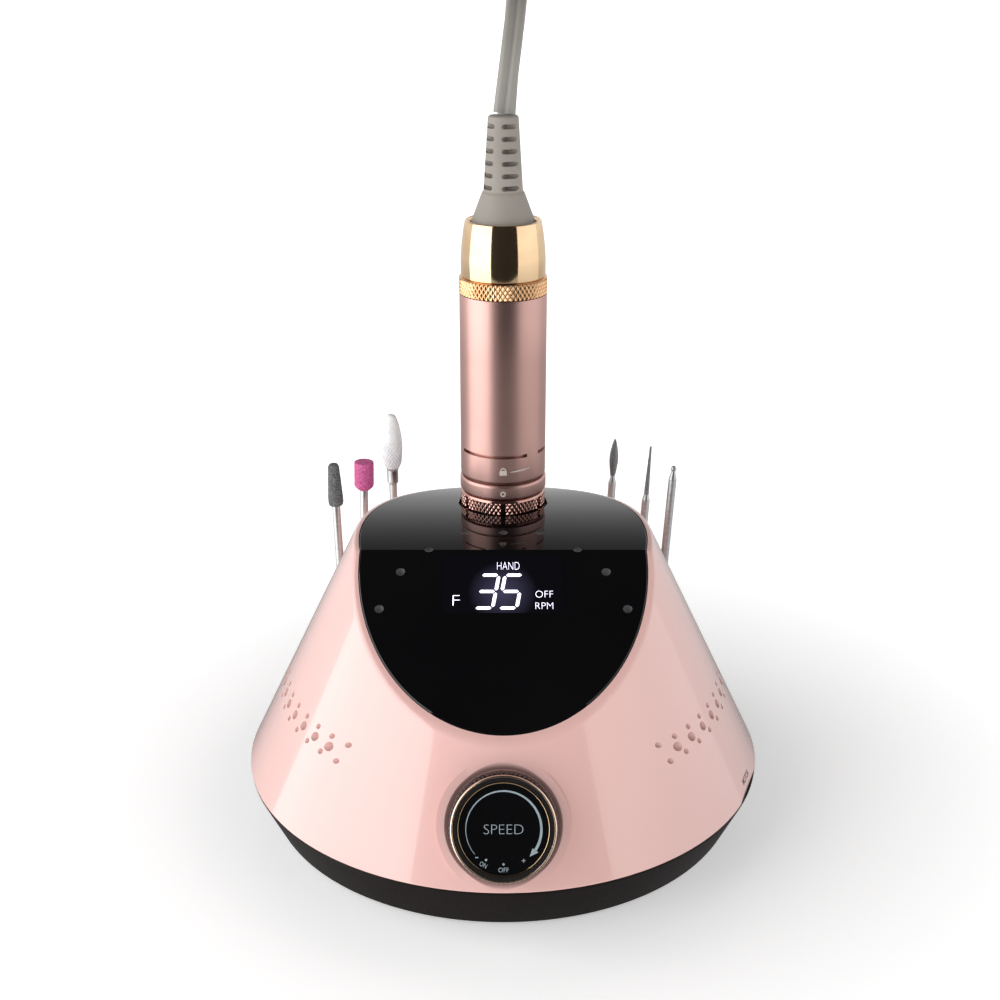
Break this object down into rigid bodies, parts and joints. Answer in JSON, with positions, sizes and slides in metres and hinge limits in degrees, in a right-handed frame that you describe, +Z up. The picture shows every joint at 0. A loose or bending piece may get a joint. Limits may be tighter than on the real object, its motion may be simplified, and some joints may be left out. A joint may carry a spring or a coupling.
{
  "type": "electric nail drill",
  "caption": "Cone-shaped desktop nail drill unit with a glossy sloping display panel, a front speed knob, an upright metal handpiece on a lead, and rotary bits in holes behind the panel.",
  "frame": {"origin": "on the table, at the middle of the central rubber pad under the cone-shaped base", "axes": "+Z up along the handpiece, -Y towards the speed knob and the user, +X to the user's right"},
  "size_m": [0.1513, 0.2718, 0.2346],
  "materials": {
    "shell_pink": "gloss painted",
    "panel_black": "polished",
    "display_glow": "lit",
    "base_black": "satin",
    "rubber_black": "matt",
    "screw_steel": "zinc plated",
    "board_green": "solder mask",
    "parts_black": "moulded",
    "sink_alloy": "anodised",
    "plate_steel": "plain",
    "well_black": "moulded",
    "rack_nylon": "moulded",
    "switch_black": "moulded",
    "rocker_black": "moulded",
    "socket_black": "moulded",
    "nut_brass": "nickel plated",
    "wire_grey": "insulation",
    "pot_metal": "pressed",
    "knob_side": "fluted",
    "knob_face": "polished",
    "rose_gold": "bright anodised",
    "rose_satin": "satin anodised",
    "gold": "polished",
    "bearing_steel": "ground",
    "motor_steel": "drawn",
    "magnet": "sintered",
    "end_cap_nylon": "moulded",
    "boot_grey": "matt",
    "cord_grey": "satin",
    "plug_grey": "moulded",
    "contact_nickel": "nickel plated",
    "shank_steel": "ground",
    "diamond_grit": "diamond plated",
    "sanding_grit": "abrasive",
    "stone_pink": "bonded abrasive",
    "ceramic_white": "sintered ceramic"
  },
  "bodies": {
    "unit": {"upper_shell": "shell_pink", "display_panel": "panel_black", "display_module": "display_glow", "base_pan": "base_black", "rubber_feet": "rubber_black", "base_screws": "screw_steel", "board_screws": "screw_steel", "control_board": "board_green", "board_parts": "parts_black", "heat_sink": "sink_alloy", "ballast_plate": "plate_steel", "handpiece_well": "well_black", "bit_racks": "rack_nylon", "mode_switch": "switch_black", "direction_switch": "switch_black", "motor_socket": "socket_black", "pedal_socket": "socket_black", "power_inlet": "socket_black", "socket_nuts": "nut_brass", "wiring": "wire_grey", "speed_pot": "pot_metal", "cord_lead": "cord_grey", "cord_coil": "cord_grey", "cord_tail": "cord_grey", "plug_body": "plug_grey", "plug_contact": "contact_nickel"},
    "speed_knob": {"pot_shaft": "shank_steel", "knob_body": "knob_side", "knob_ring": "rose_gold", "knob_inner_ring": "gold", "knob_disc": "knob_face"},
    "mode_rocker": {"mode_rocker": "rocker_black"},
    "direction_rocker": {"direction_rocker": "rocker_black"},
    "handpiece": {"nose_cone": "rose_satin", "front_ring": "rose_gold", "spindle_housing": "bearing_steel", "knurled_band": "gold", "rear_collar": "gold", "motor_can": "motor_steel", "motor_magnets": "magnet", "motor_end_cap": "end_cap_nylon", "body_tube": "rose_satin", "strain_relief": "boot_grey", "spindle_bearings": "bearing_steel"},
    "lock_ring": {"lock_ring": "rose_gold", "cam_sleeve": "bearing_steel"},
    "spindle": {"spindle": "bearing_steel", "collet": "bearing_steel", "drive_coupling": "end_cap_nylon", "motor_rotor": "motor_steel"},
    "sanding_taper": {"sanding_taper_shank": "shank_steel", "sanding_taper_head": "sanding_grit"},
    "stone_barrel": {"stone_barrel_shank": "shank_steel", "stone_barrel_head": "stone_pink"},
    "ceramic_flame": {"ceramic_flame_shank": "shank_steel", "ceramic_flame_head": "ceramic_white"},
    "diamond_flame": {"diamond_flame_bit": "diamond_grit"},
    "diamond_needle": {"diamond_needle_bit": "diamond_grit"},
    "ball_tip": {"ball_tip_bit": "shank_steel"}
  },
  "joints": [
    {"name": "knob_turn", "type": "hinge", "parent": "unit", "child": "speed_knob", "pos_m": [0, -0.06832, 0.0305], "axis": [0, -0.9006, 0.4346], "range_deg": [-300, 0]},
    {"name": "mode_rocker_tilt", "type": "hinge", "parent": "unit", "child": "mode_rocker", "pos_m": [-0.0123, 0.06978, 0.02617], "axis": [-0.9848, -0.1736, 0], "range_deg": [-14, 0]},
    {"name": "direction_rocker_tilt", "type": "hinge", "parent": "unit", "child": "direction_rocker", "pos_m": [-0.03106, 0.06368, 0.02617], "axis": [-0.8988, -0.4384, 0], "range_deg": [-14, 0]},
    {"name": "handpiece_lift", "type": "slide", "parent": "unit", "child": "handpiece", "axis": [0, 0, 1], "range_m": [0, 0.065], "deforming": ["cord_lead"]},
    {"name": "lock_turn", "type": "hinge", "parent": "handpiece", "child": "lock_ring", "pos_m": [0, 0.022, 0.0918], "axis": [0, 0, 1], "range_deg": [0, 60]},
    {"name": "spindle_turn", "type": "hinge", "parent": "handpiece", "child": "spindle", "pos_m": [0, 0.022, 0.08], "axis": [0, 0, 1], "continuous": true},
    {"name": "sanding_taper_lift", "type": "slide", "parent": "unit", "child": "sanding_taper", "axis": [-0.0227, 0, 0.9997], "range_m": [0, 0.03]},
    {"name": "stone_barrel_lift", "type": "slide", "parent": "unit", "child": "stone_barrel", "axis": [0.0262, 0, 0.9997], "range_m": [0, 0.03]},
    {"name": "ceramic_flame_lift", "type": "slide", "parent": "unit", "child": "ceramic_flame", "axis": [-0.0052, 0, 1], "range_m": [0, 0.03]},
    {"name": "diamond_flame_lift", "type": "slide", "parent": "unit", "child": "diamond_flame", "axis": [0.0384, 0, 0.9993], "range_m": [0, 0.03]},
    {"name": "diamond_needle_lift", "type": "slide", "parent": "unit", "child": "diamond_needle", "axis": [0.0523, 0, 0.9986], "range_m": [0, 0.03]},
    {"name": "ball_tip_lift", "type": "slide", "parent": "unit", "child": "ball_tip", "axis": [0.0541, 0, 0.9985], "range_m": [0, 0.03]}
  ]
}
